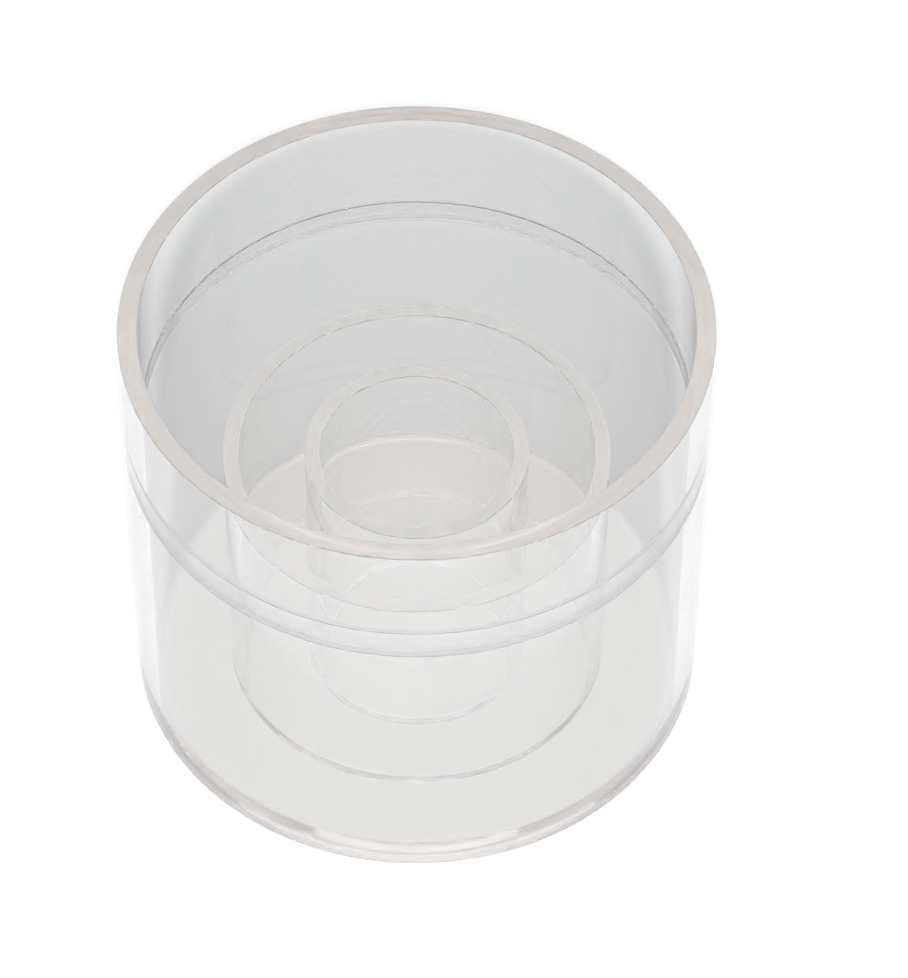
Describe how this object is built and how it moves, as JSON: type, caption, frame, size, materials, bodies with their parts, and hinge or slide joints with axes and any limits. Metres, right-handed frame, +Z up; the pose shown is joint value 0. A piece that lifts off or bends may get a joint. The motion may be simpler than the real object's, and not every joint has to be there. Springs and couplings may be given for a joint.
{
  "type": "poultry waterer fount",
  "caption": "Clear acrylic drinker vessel: a wide round tube on an inset base, nested standing tubes inside, and a collar at the rim that is modelled as lifting off.",
  "frame": {"origin": "centre of the underside, on the surface that the vessel stands on", "axes": "+Z up along the common axis of the tubes; the vessel is round, so +X and +Y are any two horizontal directions at right angles"},
  "size_m": [0.15, 0.15, 0.1276],
  "materials": {
    "base_plate": "clear cast acrylic sheet, polished",
    "lower_wall_tube": "clear extruded acrylic tube, sawn ends",
    "spigot_ring": "clear turned acrylic",
    "large_inner_tube": "clear extruded acrylic tube, sawn ends",
    "small_inner_tube": "clear extruded acrylic tube, sawn ends",
    "upper_collar": "clear extruded acrylic tube, sawn ends"
  },
  "bodies": {
    "vessel": {"base_plate": "base_plate", "lower_wall_tube": "lower_wall_tube", "spigot_ring": "spigot_ring", "large_inner_tube": "large_inner_tube", "small_inner_tube": "small_inner_tube"},
    "collar": {"upper_collar": "upper_collar"}
  },
  "joints": [
    {"name": "collar_lift", "type": "slide", "parent": "vessel", "child": "collar", "axis": [0, 0, 1], "range_m": [0, 0.06]}
  ]
}
